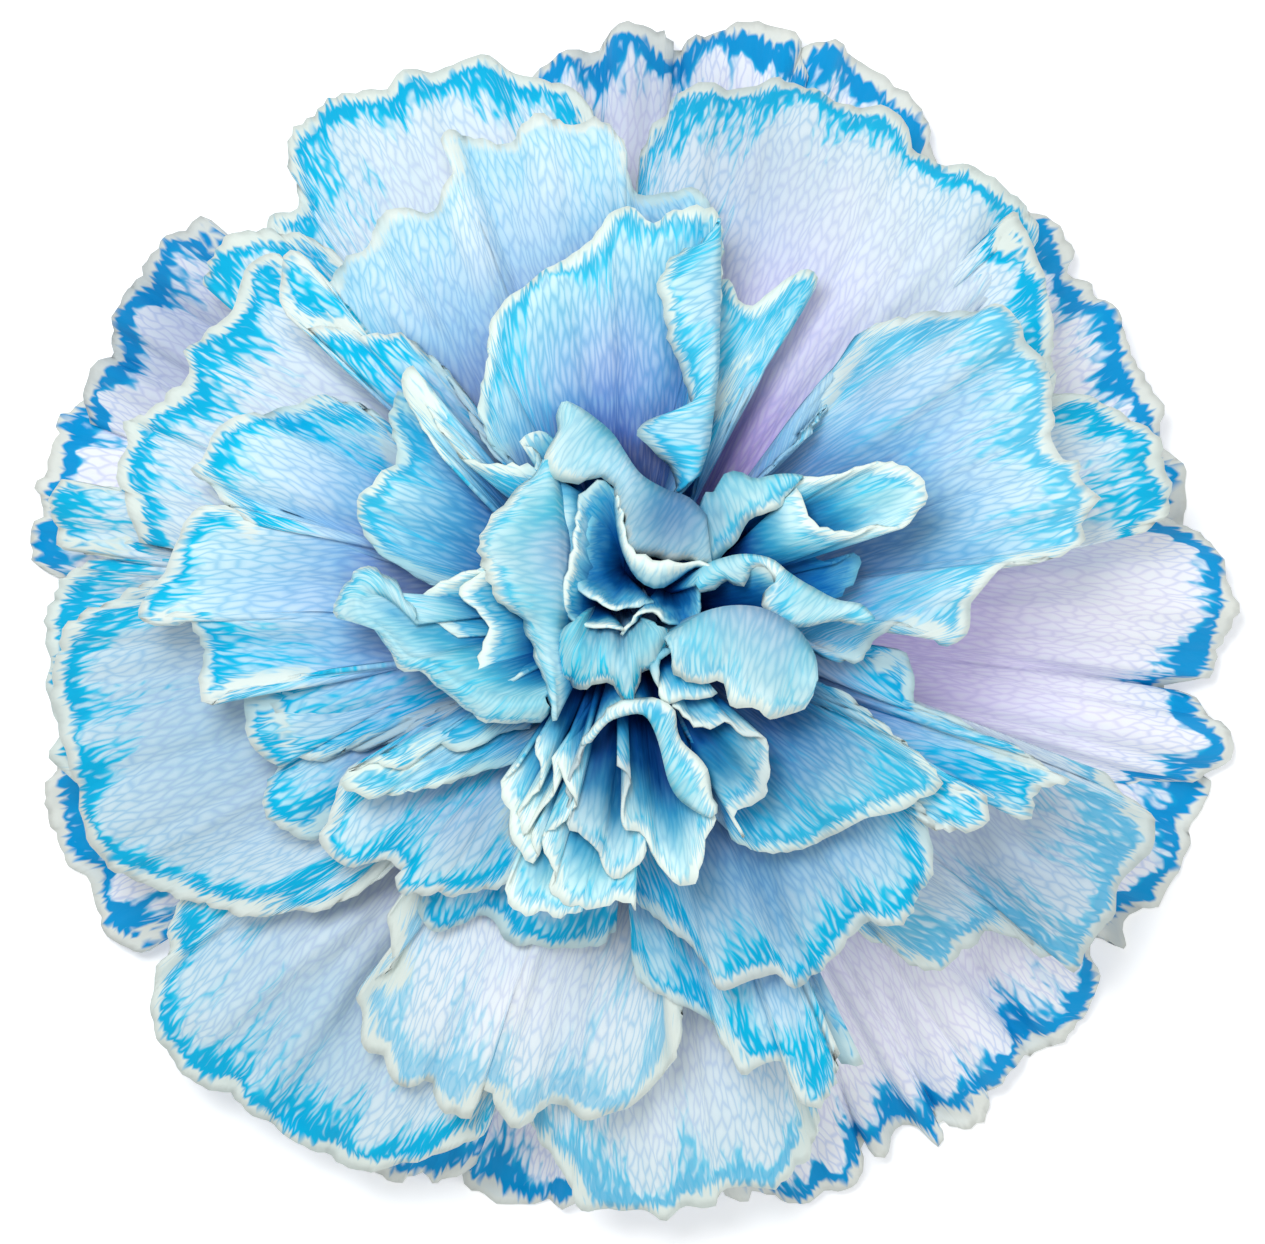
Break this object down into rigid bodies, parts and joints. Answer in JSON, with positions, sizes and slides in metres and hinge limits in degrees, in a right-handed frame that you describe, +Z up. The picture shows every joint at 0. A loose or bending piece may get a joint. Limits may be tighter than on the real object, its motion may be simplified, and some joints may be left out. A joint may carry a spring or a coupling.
{
  "type": "tinted carnation",
  "caption": "Fully open double carnation bloom with dye-tinted ruffled petals, green calyx and short cut stem, lying face up.",
  "frame": {"origin": "the centre of the stem's cut end, at the surface the bloom rests on, under the flower's axis", "axes": "+Z up along the flower's axis, towards the open face; +Y towards the top of the reference view"},
  "size_m": [0.0804, 0.0799, 0.0445],
  "materials": {
    "petals": "soft, slightly translucent petal with azure and cyan dyed margins and an off-white lip",
    "calyx": "waxy bluish green",
    "stem": "waxy bluish green with a paler cut end"
  },
  "bodies": {
    "root": {"petals": "petals", "calyx": "calyx", "stem": "stem"}
  },
  "joints": []
}
